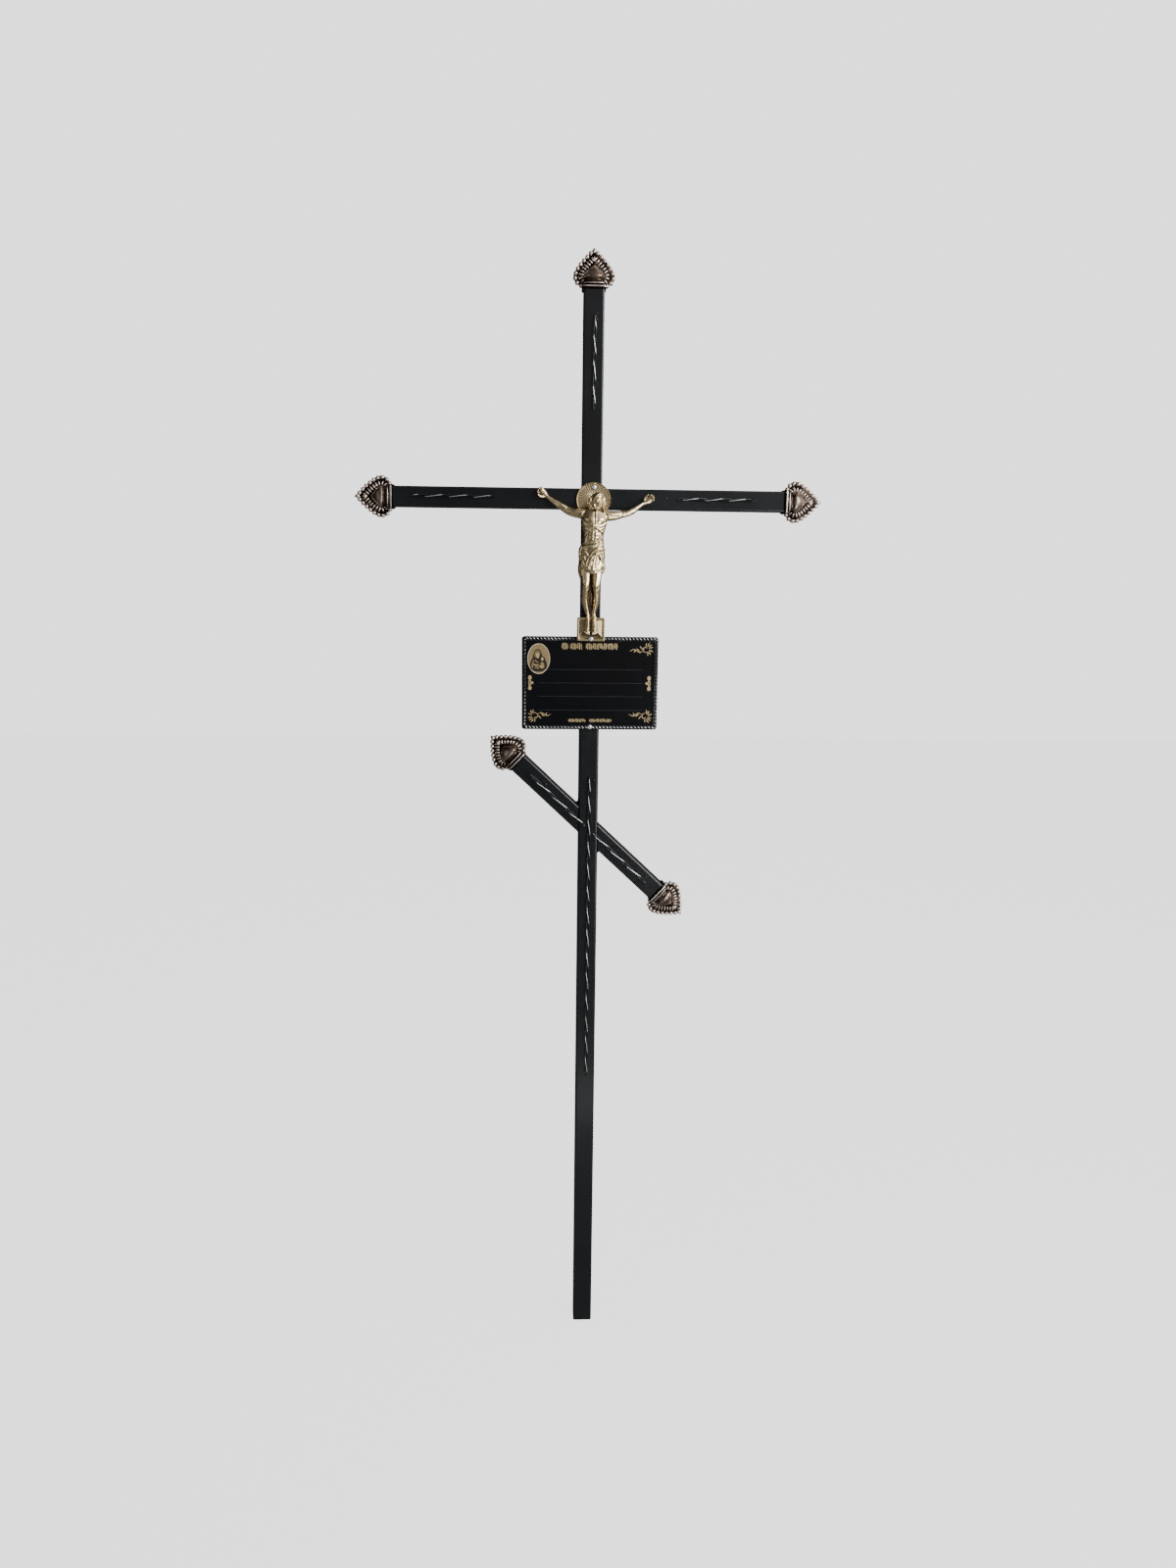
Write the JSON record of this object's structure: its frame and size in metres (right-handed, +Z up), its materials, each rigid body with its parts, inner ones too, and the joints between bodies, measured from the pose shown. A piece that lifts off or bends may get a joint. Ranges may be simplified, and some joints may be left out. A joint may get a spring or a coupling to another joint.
{
  "type": "metal grave cross",
  "caption": "Tall grave cross of black square tube with a crossbar and an oblique bar, beaded bronze end caps, a cast corpus with halo, and a nameplate.",
  "frame": {"origin": "centre of the post's foot end, the place set in the ground", "axes": "+X to the right seen from the front, +Z up along the post, the front faces -Y"},
  "size_m": [0.924, 0.0879, 2.256],
  "materials": {
    "black_paint": "gloss black paint",
    "bronze_cap": "antique bronze colour, polished on the high points",
    "brass_figure": "pale brass, polished, dark in the recesses",
    "nameplate_black": "gloss black with flat gold print",
    "screw_steel": "bright steel"
  },
  "bodies": {
    "root": {"post_tube": "black_paint", "left_arm_tube": "black_paint", "right_arm_tube": "black_paint", "upper_oblique_tube": "black_paint", "lower_oblique_tube": "black_paint", "upper_post_twisted_rod": "black_paint", "left_arm_twisted_rod": "black_paint", "right_arm_twisted_rod": "black_paint", "lower_post_twisted_rod": "black_paint", "upper_oblique_twisted_rod": "black_paint", "lower_oblique_twisted_rod": "black_paint", "top_end_cap": "bronze_cap", "left_end_cap": "bronze_cap", "right_end_cap": "bronze_cap", "upper_oblique_end_cap": "bronze_cap", "lower_oblique_end_cap": "bronze_cap", "corpus": "brass_figure", "nameplate": "nameplate_black", "halo_screw": "screw_steel", "nameplate_top_screw": "screw_steel", "nameplate_bottom_screw": "screw_steel"}
  },
  "joints": []
}
